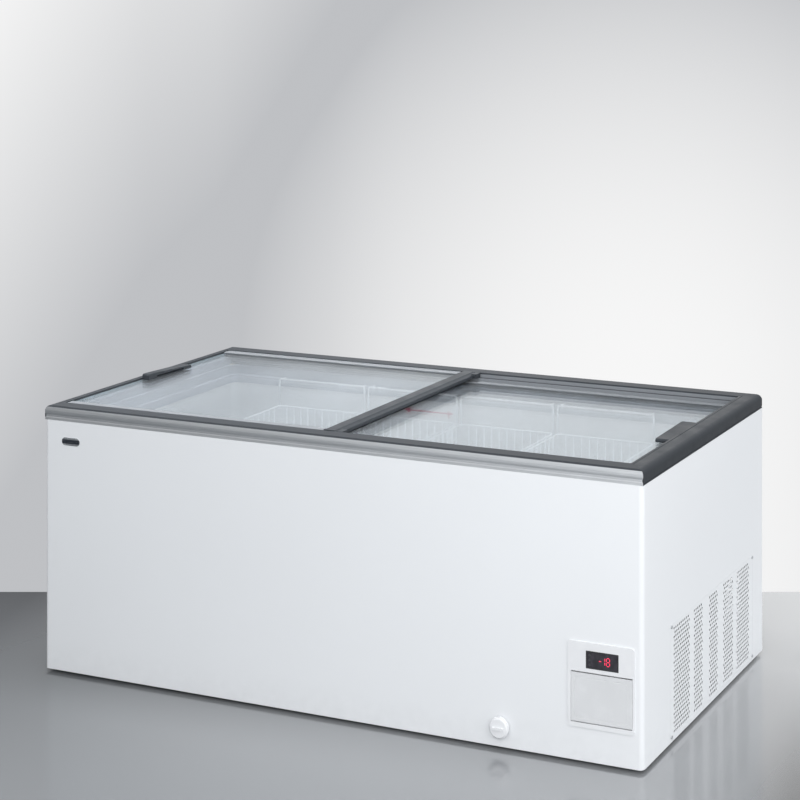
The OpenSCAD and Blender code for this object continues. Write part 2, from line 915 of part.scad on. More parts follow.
module key(z) {
    color("dimgray") {
        rod_y(key_x, front_y - 1.4, z, 5.4, key_r);
        rod_y(key_x, front_y + 3.5, z, 1.5, key_r + 1);
    }
}

module button_set() {
    key(key_z[0]);
}

module button_up() {
    key(key_z[1]);
}

module button_down() {
    key(key_z[2]);
}

rocker_y = y0 + 44;
rocker_pin_r = 2;
rocker_tip = 8;

module switch_housing() {
    color("black") difference() {
        span(
            [rocker_x - rocker_w / 2 - 3, rocker_y, rocker_z - rocker_h / 2 - 3],
            [rocker_x + rocker_w / 2 + 3, rocker_y + 22, rocker_z + rocker_h / 2 + 3]
        );
        span(
            [rocker_x - rocker_w / 2, rocker_y - cut, rocker_z - rocker_h / 2],
            [rocker_x + rocker_w / 2, rocker_y + 16, rocker_z + rocker_h / 2]
        );
        rod_x(rocker_x - rocker_w / 2 - 2, rocker_y + 4, rocker_z, rocker_w + 4, rocker_pin_r + 0.05);
    }
}

// Drawn in its ON position, tipped about its pin
module power_rocker() {
    w = rocker_w - 1;
    h = rocker_h - 5;
    color("firebrick") translate([rocker_x, rocker_y + 4, rocker_z]) rotate([rocker_tip, 0, 0]) {
        translate([-w / 2, -4, 0]) rotate([90, 0, 90]) linear_extrude(w)
            polygon([[-3, -h / 2], [-1, 0], [-3, h / 2], [6, h / 2 - 3], [9, 0], [6, -h / 2 + 3]]);
        rod_x(-rocker_w / 2 - 1.6, 0, 0, rocker_w + 3.2, rocker_pin_r);
    }
}

module badge_plate() {
    badge_r = 10;
    badge_w = 36;
    color("black") front_plate(y0 - 1.2, 1.2) translate([x0 + 84, shell_z - 51]) {
        square([badge_w, 2 * badge_r], center = true);
        for (s = [-1, 1]) {
            translate([s * badge_w / 2, 0]) circle(badge_r);
        }
    }
}

// ---------------------------------------------------------------- drain

module drain_pipe() {
    run_y = -300;
    color("whitesmoke") difference() {
        union() {
            rod_z(drain_hole_x, drain_hole_y, drain_z, tub_floor_z - liner_t - drain_z, drain_r + 2);
            rod_y(drain_hole_x, run_y, drain_z, drain_hole_y - run_y, drain_r);
            rod_x(drain_hole_x, run_y, drain_z, drain_x - drain_hole_x, drain_r);
            rod_y(drain_x, y0 - 2, drain_z, run_y - y0 + 2, drain_r);
            rod_y(drain_x, y0 - 2, drain_z, 2, drain_r + 6);
            translate([drain_x, run_y, drain_z]) sphere(drain_r);
            translate([drain_hole_x, run_y, drain_z]) sphere(drain_r);
        }
        rod_z(drain_hole_x, drain_hole_y, drain_z, 30, drain_bore);
        rod_y(drain_hole_x, run_y, drain_z, drain_hole_y - run_y, drain_bore);
        rod_x(drain_hole_x, run_y, drain_z, drain_x - drain_hole_x, drain_bore);
        rod_y(drain_x, y0 - 5, drain_z, run_y - y0 + 5, drain_bore);
    }
}

module drain_cap() {
    plug_l = 12;
    color("white") {
        translate([drain_x, y0 - 2, drain_z]) rotate([90, 0, 0]) difference() {
            rotate_extrude() polygon([
                [0, 0], [cap_r - 3, 0], [cap_r, 2], [cap_r, 8], [cap_r - 4, 11], [0, 12]
            ]);
            for (a = [0:30:330]) {
                rotate([0, 0, a]) translate([cap_r + 1.2, 0, 1]) cylinder(h = 14, r = 2.4);
            }
        }
        // turning grip and the plug that fills the pipe
        translate([drain_x - 14, y0 - 17, drain_z - 3]) cube([28, 5, 6]);
        rod_y(drain_x, y0 - 2.5, drain_z, plug_l + 0.5, drain_bore - 0.06);
    }
}

// ---------------------------------------------------------------- machinery

module compressor_deck() {
    w = 230;
    d = 190;
    color("silver") difference() {
        span([comp_x - w / 2, comp_y - d / 2, pan_z], [comp_x + w / 2, comp_y + d / 2, deck_z]);
        span(
            [comp_x - w / 2 - cut, comp_y - d / 2 + 1.5, pan_z - cut],
            [comp_x + w / 2 + cut, comp_y + d / 2 - 1.5, deck_z - 1.5]
        );
        for (p = comp_foot_places()) {
            rod_z(p[0], p[1], deck_z - 5, 10, 3.1);
        }
    }
}

function comp_foot_places() = [
    for (sx = [-1, 1], sy = [-1, 1]) [comp_x + sx * 90, comp_y + sy * 64]
];

comp_plate_z = deck_z + 14;

module compressor_shell() {
    base_z = comp_plate_z + 3;
    color("black") {
        difference() {
            span([comp_x - 106, comp_y - 78, comp_plate_z], [comp_x + 106, comp_y + 78, base_z]);
            for (p = comp_foot_places()) {
                rod_z(p[0], p[1], comp_plate_z - cut, 8, 7);
            }
        }
        translate([comp_x, comp_y, base_z]) rotate_extrude() union() {
            intersection() {
                translate([0, 34]) circle(comp_r);
                square([comp_r, 30]);
            }
            translate([0, 28]) square([comp_r, 84]);
            translate([0, 60]) square([comp_r + 3, 8]);
            intersection() {
                translate([0, 92]) circle(comp_r);
                translate([0, 92]) square([comp_r, comp_r - 8]);
            }
        }
        // suction and discharge stubs
        rod_y(comp_x - 30, comp_y - comp_r - 26, suction_stub_z, 40, 5);
        rod_y(comp_x + 30, comp_y - comp_r - 26, discharge_stub_z, 40, 4);
    }
}

suction_stub_z = comp_plate_z + 70;
discharge_stub_z = comp_plate_z + 50;

module compressor_grommets() {
    color("dimgray") for (p = comp_foot_places()) {
        translate([p[0], p[1], deck_z]) rotate_extrude() polygon([
            [3.1, 0], [13, 0], [13, 14], [7, 14], [7, 17], [12, 17], [12, 21], [3.1, 21]
        ]);
    }
}

module compressor_bolts() {
    color("silver") for (p = comp_foot_places()) {
        rod_z(p[0], p[1], deck_z - 4, 25, 3);
        translate([p[0], p[1], deck_z + 21]) cylinder(h = 1.5, r = 9);
        translate([p[0], p[1], deck_z + 22.5]) cylinder(h = 5, r = 5.8, $fn = 6);
    }
}

module start_relay_box() {
    color("black") difference() {
        span(
            [comp_x - 32, comp_y + comp_r - 18, comp_plate_z + 22],
            [comp_x + 32, comp_y + comp_r + 26, comp_plate_z + 84]
        );
        rod_z(comp_x, comp_y, comp_plate_z, 120, comp_r + 3.2);
    }
}

cond_x0 = 786;
cond_x1 = 832;
cond_y0 = fan_y - 130;
cond_y1 = fan_y + 130;
cond_z0 = pan_z + 14;
cond_z1 = cond_z0 + 236;
cond_rows = 8;
fin_t = 0.8;
fin_pitch = 9.5;
cond_tube_r = 4;

function cond_tube_z(i) = cond_z0 + 18 + i * 28.5;

module condenser_coil() {
    mid_x = (cond_x0 + cond_x1) / 2;
    fin_count = floor((cond_y1 - cond_y0 - 20) / fin_pitch);
    color("dimgray") {
        for (i = [0:fin_count]) {
            span(
                [cond_x0, cond_y0 + 10 + i * fin_pitch, cond_z0],
                [cond_x1, cond_y0 + 10 + i * fin_pitch + fin_t, cond_z1]
            );
        }
        for (i = [0:cond_rows - 1]) {
            rod_y(mid_x, cond_y0, cond_tube_z(i), cond_y1 - cond_y0, cond_tube_r);
        }
        // return bends, at one end for even rows and at the other for odd rows
        for (i = [0:cond_rows - 2]) {
            end_y = i % 2 == 0 ? cond_y1 : cond_y0;
            turn = i % 2 == 0 ? 1 : -1;
            translate([mid_x, end_y, (cond_tube_z(i) + cond_tube_z(i + 1)) / 2])
                rotate([0, 90, 0]) rotate([0, 0, turn > 0 ? 0 : 180])
                    rotate_extrude(angle = 180) translate([14.25, 0]) circle(cond_tube_r);
        }
        // stand bracket
        span([cond_x0, cond_y0 + 10, pan_z], [cond_x1, cond_y0 + 12, cond_z0]);
        span([cond_x0, cond_y1 - 15, pan_z], [cond_x1, cond_y1 - 13, cond_z0]);
        span([cond_x0, cond_y0 + 10, cond_z0 - 1], [cond_x1, cond_y1 - 13, cond_z0]);
    }
}

shroud_x = cond_x0 - 50;

module fan_shroud() {
    color("black") difference() {
        span([shroud_x, cond_y0, pan_z], [cond_x0 - 0.5, cond_y1, cond_z1 + 6]);
        span([shroud_x + 2, cond_y0 + 2, pan_z - cut], [cond_x0 + cut, cond_y1 - 2, cond_z1 + 4]);
        rod_x(shroud_x - cut, fan_y, fan_z, 10, fan_r + 6);
    }
    color("black") {
        // motor spider
        difference() {
            for (a = [0:90:270]) {
                translate([shroud_x, fan_y, fan_z]) rotate([a, 0, 0])
                    translate([-2, -3, 30]) cube([3, 6, fan_r - 20]);
            }
            rod_x(shroud_x - 5, fan_y, fan_z, 10, 30);
        }
    }
}

motor_x = shroud_x - 46;

module fan_motor() {
    color("dimgray") {
        rod_x(motor_x, fan_y, fan_z, 44, 31);
        rod_x(motor_x - 8, fan_y, fan_z, 10, 18);
        rod_x(motor_x + 40, fan_y, fan_z, 40, shaft_r);
        // feet on the spider
        for (a = [0:90:270]) {
            translate([motor_x + 41, fan_y, fan_z]) rotate([a, 0, 0])
                translate([0, -3, 29]) cube([3, 6, 12]);
        }
    }
}

module fan_blade() {
    hub_x = shroud_x + 12;
    hub_l = 24;
    hub_r = 20;
    blade_count = 5;
    blade_pitch = 55;
    chord = 44;
    color("silver") {
        difference() {
            rod_x(hub_x, fan_y, fan_z, hub_l, hub_r);
            rod_x(hub_x - cut, fan_y, fan_z, hub_l + 2 * cut, shaft_r + 0.05);
        }
        difference() {
            intersection() {
                translate([hub_x + hub_l / 2, fan_y, fan_z]) for (i = [0:blade_count - 1]) {
                    rotate([i * 360 / blade_count, 0, 0]) rotate([0, 0, blade_pitch])
                        translate([-1, -chord / 2, hub_r / 2]) cube([2, chord, fan_r]);
                }
                rod_x(hub_x - 20, fan_y, fan_z, 80, fan_r);
            }
            rod_x(hub_x - 20, fan_y, fan_z, 80, hub_r - 3);
        }
    }
}

drier_x = 700;
drier_y = -170;

module filter_drier() {
    color("peru") translate([drier_x, drier_y, drier_z]) rotate_extrude() polygon([
        [0, 0], [liquid_r, 0], [liquid_r, 12], [13, 22], [13, drier_h - 22],
        [liquid_r, drier_h - 12], [liquid_r, drier_h], [0, drier_h]
    ]);
}

suction_z = coil_levels_low[0] + 32;
liquid_z = coil_levels_low[2] + 32;
line_r = 4;
liquid_r = 3;
capillary_r = 1.2;
drier_z = 100;
drier_h = 130;

// Copper lines: each is a chain of straight tubes with ball elbows
module tube_path(points, r) {
    for (i = [0:len(points) - 2]) {
        a = points[i];
        b = points[i + 1];
        d = b - a;
        if (d[0] != 0) {
            rod_x(min(a[0], b[0]), a[1], a[2], abs(d[0]), r);
        } else if (d[1] != 0) {
            rod_y(a[0], min(a[1], b[1]), a[2], abs(d[1]), r);
        } else {
            rod_z(a[0], a[1], min(a[2], b[2]), abs(d[2]), r);
        }
    }
    for (i = [1:len(points) - 2]) {
        translate(points[i]) sphere(r * 1.001);
    }
}

module refrigerant_lines() {
    stub_y = comp_y - comp_r - 26;
    bend_y = cond_y0 - 20;
    mid_x = (cond_x0 + cond_x1) / 2;
    top_row_z = cond_tube_z(cond_rows - 1);
    color("peru") {
        // suction line from the evaporator to the compressor
        tube_path([
            [riser_x + coil_r, coil_y, suction_z], [bay_x + 20, coil_y, suction_z],
            [bay_x + 20, stub_y - 20, suction_z], [bay_x + 20, stub_y - 20, suction_stub_z],
            [comp_x - 30, stub_y - 20, suction_stub_z], [comp_x - 30, stub_y, suction_stub_z]
        ], line_r);
        // discharge line from the compressor to the condenser
        tube_path([
            [comp_x + 30, stub_y, discharge_stub_z], [comp_x + 30, bend_y, discharge_stub_z],
            [shroud_x, bend_y, discharge_stub_z], [shroud_x, bend_y, top_row_z],
            [mid_x, bend_y, top_row_z], [mid_x, cond_y0, top_row_z]
        ], liquid_r);
        // liquid line from the condenser to the drier
        tube_path([
            [mid_x, cond_y0, cond_tube_z(0)], [mid_x, bend_y - 10, cond_tube_z(0)],
            [drier_x, bend_y - 10, cond_tube_z(0)], [drier_x, drier_y, cond_tube_z(0)],
            [drier_x, drier_y, drier_z]
        ], liquid_r);
        // capillary tube from the drier to the evaporator
        tube_path([
            [drier_x, drier_y, drier_z + drier_h], [drier_x, drier_y, liquid_z],
            [bay_x + 10, drier_y, liquid_z], [bay_x + 10, coil_y, liquid_z],
            [riser_x + coil_r, coil_y, liquid_z]
        ], capillary_r);
    }
}

module temperature_probe() {
    lead_z = bay_roof - 30;
    lead_y = y0 + 120;
    color("gray") {
        rod_z(bay_x + 30, 0, step_z - liner_t - 40, 40, 3);
        tube_path([
            [bay_x + 30, 0, step_z - liner_t - 20], [bay_x + 30, 0, lead_z], [bay_x + 30, lead_y, lead_z],
            [display_x, lead_y, lead_z], [display_x, lead_y, display_z], [display_x, y0 + 60, display_z]
        ], 1.8);
    }
}

inlet_w = 47;
inlet_h = 27;
inlet_x = cover_x0 + 60;
inlet_z = cover_z0 + 36;

// Recessed mains socket with three blades
module power_inlet() {
    color("black") difference() {
        union() {
            translate([inlet_x, rear_y + 1, inlet_z]) cube([inlet_w + 10, 2, inlet_h + 8], center = true);
            translate([inlet_x, rear_y - 12, inlet_z]) cube([inlet_w, 24, inlet_h], center = true);
        }
        translate([inlet_x, rear_y - 8, inlet_z]) cube([25, 21, 17], center = true);
    }
    color("silver") for (pin = [[-7, -2], [0, 3], [7, -2]]) {
        translate([inlet_x + pin[0], rear_y - 11, inlet_z + pin[1]]) cube([2, 16, 4], center = true);
    }
}

// ---------------------------------------------------------------- baskets

basket_w = 292;
basket_rim_z = shelf_z - 75;
basket_wall = 4;
basket_half = tub_y - 8;
basket_first = -(basket_count - 1) / 2 * basket_pitch - 20;
wire_r = 2.5;
hanger_z = shelf_z + wire_r + 0.1;

module basket(i) {
    x = basket_first + i * basket_pitch;
    z0 = basket_rim_z - basket_h;
    color("white") {
        difference() {
            span([x - basket_w / 2, -basket_half, z0], [x + basket_w / 2, basket_half, basket_rim_z]);
            span(
                [x - basket_w / 2 + basket_wall, -basket_half + basket_wall, z0 + basket_wall],
                [x + basket_w / 2 - basket_wall, basket_half - basket_wall, basket_rim_z + cut]
            );
        }
        // hanger frames that hook over the collar's shelf
        for (s = [-1, 1]) {
            hook_y = s * (basket_half - wire_r);
            rest_y = s * (tub_y + 7);
            for (sx = [-1, 1]) {
                post_x = x + sx * (basket_w / 2 - wire_r);
                rod_z(post_x, hook_y, basket_rim_z - 1, hanger_z - basket_rim_z + 1, wire_r);
                rod_y(post_x, min(hook_y, rest_y), hanger_z, abs(rest_y - hook_y), wire_r);
                translate([post_x, hook_y, hanger_z]) sphere(wire_r * 1.001);
            }
            rod_x(x - basket_w / 2 + wire_r, hook_y, hanger_z, basket_w - 2 * wire_r, wire_r);
        }
    }
}

module basket_1() {
    basket(0);
}

module basket_2() {
    basket(1);
}

module basket_3() {
    basket(2);
}

module basket_4() {
    basket(3);
}

outer_wrap();
rear_panel();
rear_service_cover();
panel_screws();
base_pan();
glide_feet();
inner_tub();
tub_collar();
insulation_foam();
bay_bulkhead();
front_rail();
rear_rail();
left_end_cap();
right_end_cap();
side_grille();
control_bezel();
flap_hinge_pins();
controller_body();
display_window();
display_digits();
control_board();
switch_housing();
badge_plate();
load_line_mark();
drain_pipe();
compressor_deck();
compressor_shell();
compressor_grommets();
compressor_bolts();
start_relay_box();
condenser_coil();
fan_shroud();
fan_motor();
filter_drier();
refrigerant_lines();
evaporator_coil();
temperature_probe();
power_inlet();
left_lid_glass();
left_lid_edges();
left_lid_bar();
left_lid_handle();
left_lid_glides();
right_lid_glass();
right_lid_edges();
right_lid_bar();
right_lid_handle();
right_lid_glides();
fan_blade();
service_flap();
drain_cap();
power_rocker();
button_set();
button_up();
button_down();
basket_1();
basket_2();
basket_3();
basket_4();
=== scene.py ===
"""Looks of the ice cream dipping cabinet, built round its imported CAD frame. All lengths are in metres."""
import json
import math

import bmesh
import bpy
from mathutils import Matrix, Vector


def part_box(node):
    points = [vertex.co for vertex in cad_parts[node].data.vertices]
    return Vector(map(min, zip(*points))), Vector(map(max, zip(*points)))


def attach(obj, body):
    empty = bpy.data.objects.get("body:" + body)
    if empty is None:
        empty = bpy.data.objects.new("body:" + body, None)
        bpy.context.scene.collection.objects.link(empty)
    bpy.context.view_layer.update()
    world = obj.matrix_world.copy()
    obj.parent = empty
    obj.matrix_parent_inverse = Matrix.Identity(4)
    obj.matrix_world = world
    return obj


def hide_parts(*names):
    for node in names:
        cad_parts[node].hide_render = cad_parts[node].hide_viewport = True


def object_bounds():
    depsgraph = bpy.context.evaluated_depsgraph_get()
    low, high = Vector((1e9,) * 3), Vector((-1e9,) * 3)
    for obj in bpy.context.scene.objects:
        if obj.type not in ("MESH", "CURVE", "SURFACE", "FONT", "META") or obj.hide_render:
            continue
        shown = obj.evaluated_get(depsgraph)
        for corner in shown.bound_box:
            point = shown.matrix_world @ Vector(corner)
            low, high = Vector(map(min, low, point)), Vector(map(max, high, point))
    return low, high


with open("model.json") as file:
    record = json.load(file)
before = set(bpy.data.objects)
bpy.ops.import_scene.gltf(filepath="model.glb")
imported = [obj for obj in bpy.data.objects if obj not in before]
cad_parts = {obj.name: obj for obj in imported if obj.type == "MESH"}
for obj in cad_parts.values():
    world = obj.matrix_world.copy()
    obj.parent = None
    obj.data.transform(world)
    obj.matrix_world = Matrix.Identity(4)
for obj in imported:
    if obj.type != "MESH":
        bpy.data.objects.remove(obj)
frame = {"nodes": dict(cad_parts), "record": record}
cad_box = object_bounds()

NODES = frame["nodes"]
RECORD = frame["record"]
MM = 0.001


# ---------------------------------------------------------------- material tools


class Look:
    """One procedural material: a principled surface and the textures that feed it."""

    def __init__(self, name):
        self.material = bpy.data.materials.new(name)
        self.material.use_nodes = True
        self.tree = self.material.node_tree
        self.surface = self.tree.nodes["Principled BSDF"]
        self.output = self.tree.nodes["Material Output"]
        self.place = self.add("ShaderNodeTexCoord").outputs["Object"]

    def add(self, kind, settings=None, **sockets):
        node = self.tree.nodes.new(kind)
        for key, value in (settings or {}).items():
            setattr(node, key, value)
        for key, value in sockets.items():
            self.feed(node, key.replace("_", " "), value)
        return node

    def feed(self, node, key, value):
        if isinstance(value, bpy.types.NodeSocket):
            self.tree.links.new(value, node.inputs[key])
        else:
            node.inputs[key].default_value = value

    def noise(self, scale, detail=3.0, stretch=(1, 1, 1)):
        mapping = self.add("ShaderNodeMapping", Vector=self.place, Scale=stretch)
        texture = self.add("ShaderNodeTexNoise", Vector=mapping.outputs[0], Scale=scale, Detail=detail)
        return texture.outputs["Fac"]

    def cells(self, scale):
        """A random grey for each cell of a crystal pattern."""
        texture = self.add("ShaderNodeTexVoronoi", Vector=self.place, Scale=scale)
        return self.add("ShaderNodeSeparateColor", Color=texture.outputs["Color"]).outputs[0]

    def ramp(self, value, low, high, to_low=0.0, to_high=1.0):
        node = self.add("ShaderNodeMapRange", Value=value)
        for key, limit in zip(("From Min", "From Max", "To Min", "To Max"), (low, high, to_low, to_high)):
            node.inputs[key].default_value = limit
        return node.outputs[0]

    def maths(self, operation, a, b):
        node = self.add("ShaderNodeMath", {"operation": operation})
        self.feed(node, 0, a)
        self.feed(node, 1, b)
        return node.outputs[0]

    def mix(self, factor, a, b):
        """Colour a where factor is 0 and colour b where it is 1."""
        node = self.add("ShaderNodeMix", {"data_type": "RGBA"})
        self.feed(node, 0, factor)
        self.feed(node, 6, solid(a) if isinstance(a, tuple) else a)
        self.feed(node, 7, solid(b) if isinstance(b, tuple) else b)
        return node.outputs[2]

    def axis(self, vector, index):
        return self.add("ShaderNodeSeparateXYZ", Vector=vector).outputs[index]

    def edges(self, radius):
        """1 along sharp edges and 0 on the flats."""
        round_normal = self.add("ShaderNodeBevel", {"samples": 4}, Radius=radius).outputs[0]
        true_normal = self.add("ShaderNodeNewGeometry").outputs["Normal"]
        dot = self.add("ShaderNodeVectorMath", {"operation": "DOT_PRODUCT"})
        self.feed(dot, 0, round_normal)
        self.feed(dot, 1, true_normal)
        return self.ramp(dot.outputs["Value"], 0.98, 0.82)

    def bump(self, height, distance, strength=1.0):
        node = self.add("ShaderNodeBump", Height=height, Distance=distance, Strength=strength)
        self.feed(self.surface, "Normal", node.outputs[0])

    def finish(self, colour, rough, metallic=0.0):
        self.feed(self.surface, "Base Color", solid(colour) if isinstance(colour, tuple) else colour)
        self.feed(self.surface, "Roughness", rough)
        self.surface.inputs["Metallic"].default_value = metallic
        return self.material


def solid(colour):
    return (*colour[:3], 1.0)


def scaled(colour, share):
    return tuple(min(1.0, c * share) for c in colour[:3])


# ---------------------------------------------------------------- finishes


def painted(name, colour, rough=0.32):
    """Enamel on sheet metal: orange peel, faint tone drift, wiping marks and a dusty foot."""
    look = Look(name)
    drift = look.ramp(look.noise(1.6), 0.3, 0.7)
    tone = look.mix(drift, scaled(colour, 0.985), colour)
    height = look.axis(look.place, 2)
    low = look.ramp(height, 0.09, 0.008)
    dust = look.maths("MULTIPLY", low, look.ramp(look.noise(38.0, 5.0), 0.35, 0.75))
    tone = look.mix(look.maths("MULTIPLY", dust, 0.14), tone, scaled(colour, 0.62))
    tone = look.mix(look.maths("MULTIPLY", look.edges(1.2 * MM), 0.12), tone, scaled(colour, 0.8))
    wipes = look.ramp(look.noise(2.2, 2.0, (1, 1, 0.4)), 0.3, 0.7, rough * 0.97, rough * 1.04)
    look.bump(look.noise(520.0, 2.0), 0.25 * MM, 0.08)
    return look.finish(tone, wipes)


def moulded(name, colour, rough=0.45, grain=900.0, sheen=0.5):
    """Moulded plastic: fine grain, handling marks, and edges painted a little lighter, partly as polish from
    handling and partly as a painted highlight.
    """
    look = Look(name)
    drift = look.ramp(look.noise(6.0), 0.3, 0.7)
    tone = look.mix(drift, scaled(colour, 0.93), colour)
    rub = look.ramp(look.noise(30.0, 5.0, (1, 0.3, 1)), 0.52, 0.72)
    tone = look.mix(look.maths("MULTIPLY", rub, 0.12), tone, scaled(colour, 1.35))
    # Edges painted lighter: partly polish from handling, partly a painted highlight along them.
    tone = look.mix(look.maths("MULTIPLY", look.edges(0.9 * MM), 0.35), tone, scaled(colour, 1.5))
    marks = look.ramp(look.noise(22.0, 4.0), 0.35, 0.7, rough * 0.85, rough * 1.2)
    look.bump(look.noise(grain, 2.0), 0.2 * MM, 0.25)
    look.surface.inputs["Specular IOR Level"].default_value = sheen
    return look.finish(tone, marks)


def brushed(name, colour, rough=0.32, stretch=(0.02, 1, 1)):
    """Metal with fine lines along one direction."""
    look = Look(name)
    lines = look.noise(900.0, 3.0, stretch)
    tone = look.mix(look.ramp(lines, 0.3, 0.7), scaled(colour, 0.86), colour)
    look.bump(lines, 0.05 * MM, 0.3)
    return look.finish(tone, look.ramp(lines, 0.3, 0.7, rough * 0.8, rough * 1.3), 1.0)


def spangled(name, colour):
    """Hot-dip zinc: crystal spangles of slightly different grey, with dull patches."""
    look = Look(name)
    spangle = look.cells(120.0)
    tone = look.mix(spangle, scaled(colour, 0.9), scaled(colour, 1.04))
    dull = look.ramp(look.noise(7.0, 5.0), 0.4, 0.7)
    tone = look.mix(look.maths("MULTIPLY", dull, 0.2), tone, scaled(colour, 0.75))
    look.bump(spangle, 0.04 * MM, 0.2)
    return look.finish(tone, look.ramp(spangle, 0.0, 1.0, 0.4, 0.48), 0.75)


def rail_finish(name, colour):
    """Satin aluminium faces on the outside, dark cover on the nose and the top, grey in the tracks."""
    look = Look(name)
    lines = look.noise(700.0, 3.0, (0.015, 1, 1))
    metal = look.mix(look.ramp(lines, 0.3, 0.7), scaled(colour, 0.9), scaled(colour, 1.08))
    grain = look.ramp(look.noise(1100.0, 2.0), 0.3, 0.7)
    plastic = look.mix(grain, scaled(DARK_TRIM, 0.9), scaled(DARK_TRIM, 1.08))
    track = look.mix(grain, scaled(STRIP_GREY, 0.9), scaled(STRIP_GREY, 1.08))
    up = look.ramp(look.axis(look.add("ShaderNodeNewGeometry").outputs["True Normal"], 2), 0.8, 0.9)
    from_middle = look.maths("ABSOLUTE", look.axis(look.place, 1), 0.0)
    inward = look.ramp(from_middle, RAIL_FACE_Y, RAIL_FACE_Y - 2 * MM)
    nose = look.ramp(look.axis(look.place, 2), RAIL_TOP_Z - 4.5 * MM, RAIL_TOP_Z - 3.5 * MM)
    dark = look.maths("MAXIMUM", up, nose)
    cover = look.maths("MAXIMUM", dark, inward)
    look.feed(look.surface, "Base Color", look.mix(cover, metal, look.mix(dark, track, plastic)))
    look.feed(look.surface, "Metallic", look.ramp(cover, 0.0, 1.0, 0.85, 0.0))
    look.feed(look.surface, "Roughness", look.ramp(cover, 0.0, 1.0, 0.3, 0.45))
    look.feed(look.surface, "Specular IOR Level", look.ramp(cover, 0.0, 1.0, 0.5, TRIM_SHEEN))
    look.bump(lines, 0.04 * MM, 0.25)
    return look.material


def rubbery(name, colour):
    look = Look(name)
    bloom = look.ramp(look.noise(45.0, 5.0), 0.4, 0.75)
    tone = look.mix(bloom, colour, scaled(colour, 2.2))
    look.bump(look.noise(1400.0, 2.0), 0.1 * MM, 0.4)
    return look.finish(tone, look.ramp(bloom, 0.0, 1.0, 0.6, 0.85))


def foam_finish(name, colour):
    look = Look(name)
    skin = look.noise(160.0, 6.0)
    look.bump(skin, 1.2 * MM, 0.7)
    return look.finish(look.mix(skin, scaled(colour, 0.8), colour), 0.9)


def copper_finish(name, colour):
    look = Look(name)
    tarnish = look.ramp(look.noise(26.0, 6.0), 0.4, 0.7)
    tone = look.mix(tarnish, colour, (0.26, 0.12, 0.07))
    look.bump(look.noise(500.0, 2.0), 0.05 * MM, 0.3)
    return look.finish(tone, look.ramp(tarnish, 0.0, 1.0, 0.25, 0.5), 1.0)


def glass_finish(name):
    """Clear sheet glass: sharp reflections, a trace of haze and grey-blue cut edges."""
    look = Look(name)
    clear = look.add("ShaderNodeBsdfTransparent", Color=(0.95, 0.957, 0.96, 1.0)).outputs[0]
    haze = look.add("ShaderNodeBsdfDiffuse", Color=(0.78, 0.83, 0.88, 1.0)).outputs[0]
    smear = look.ramp(look.noise(3.0, 5.0, (1, 0.4, 1)), 0.35, 0.75, GLASS_HAZE, GLASS_HAZE * 2.2)
    body = look.add("ShaderNodeMixShader", Fac=smear)
    look.feed(body, 1, clear)
    look.feed(body, 2, haze)
    shine = look.add("ShaderNodeBsdfGlossy", Color=(0.95, 0.98, 1.0, 1.0), Roughness=0.03).outputs[0]
    fresnel = look.add("ShaderNodeFresnel", IOR=1.45).outputs[0]
    face = look.add("ShaderNodeMixShader", Fac=look.maths("MULTIPLY", fresnel, GLASS_SHINE))
    look.feed(face, 1, body.outputs[0])
    look.feed(face, 2, shine)
    look.finish((0.36, 0.43, 0.46), 0.15)
    up = look.maths("ABSOLUTE", look.axis(look.add("ShaderNodeNewGeometry").outputs["True Normal"], 2), 0.0)
    cut = look.add("ShaderNodeMixShader", Fac=look.ramp(up, 0.4, 0.6))
    look.feed(cut, 1, look.surface.outputs[0])
    look.feed(cut, 2, face.outputs[0])
    look.tree.links.new(cut.outputs[0], look.output.inputs["Surface"])
    return look.material


def window_finish(name, colour):
    """Smoked gloss window with faint smudges."""
    look = Look(name)
    smudge = look.ramp(look.noise(60.0, 4.0), 0.4, 0.75)
    tone = look.mix(smudge, colour, scaled(colour, 2.0))
    return look.finish(tone, look.ramp(smudge, 0.0, 1.0, 0.08, 0.28))


def lit_finish(name, colour):
    """Lit segments, their brightness varying a little from place to place."""
    look = Look(name)
    glow = look.ramp(look.noise(400.0, 1.0), 0.3, 0.7, 0.9, 1.5)
    look.surface.inputs["Emission Color"].default_value = solid(colour)
    look.feed(look.surface, "Emission Strength", glow)
    return look.finish(colour, 0.4)


def board_finish(name, colour):
    look = Look(name)
    tracks = look.ramp(look.noise(300.0, 1.0, (1, 1, 0.2)), 0.48, 0.52)
    return look.finish(look.mix(tracks, colour, (0.1, 0.34, 0.2)), 0.35)


def printed_finish(name, colour):
    look = Look(name)
    ink = look.ramp(look.noise(700.0, 3.0), 0.3, 0.55)
    look.bump(ink, 0.02 * MM, 0.3)
    return look.finish(look.mix(ink, scaled(colour, 1.25), colour), 0.5)


def badge_finish(name):
    """Plain badge: a dark polished field inside a brighter metal border."""
    lo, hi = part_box("badge_plate")
    middle, half = (lo + hi) / 2, (hi - lo) / 2
    look = Look(name)
    from_middle = look.maths("ABSOLUTE", look.maths("SUBTRACT", look.axis(look.place, 2), middle.z), 0.0)
    border = look.ramp(from_middle, half.z * 0.5, half.z * 0.62)
    lines = look.ramp(look.noise(900.0, 2.0, (0.05, 1, 1)), 0.3, 0.7)
    metal = look.mix(lines, (0.34, 0.36, 0.38), (0.5, 0.52, 0.54))
    look.feed(look.surface, "Metallic", look.ramp(border, 0.0, 1.0, 0.0, 0.7))
    look.feed(look.surface, "Base Color", look.mix(border, (0.022, 0.026, 0.034), metal))
    look.feed(look.surface, "Roughness", look.ramp(lines, 0.0, 1.0, 0.18, 0.32))
    return look.material


# Where the rail's metal face ends and its dark top begins, measured from the middle of the cabinet
RAIL_FACE_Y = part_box("rear_rail")[1].y - 7 * MM
RAIL_TOP_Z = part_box("rear_rail")[1].z

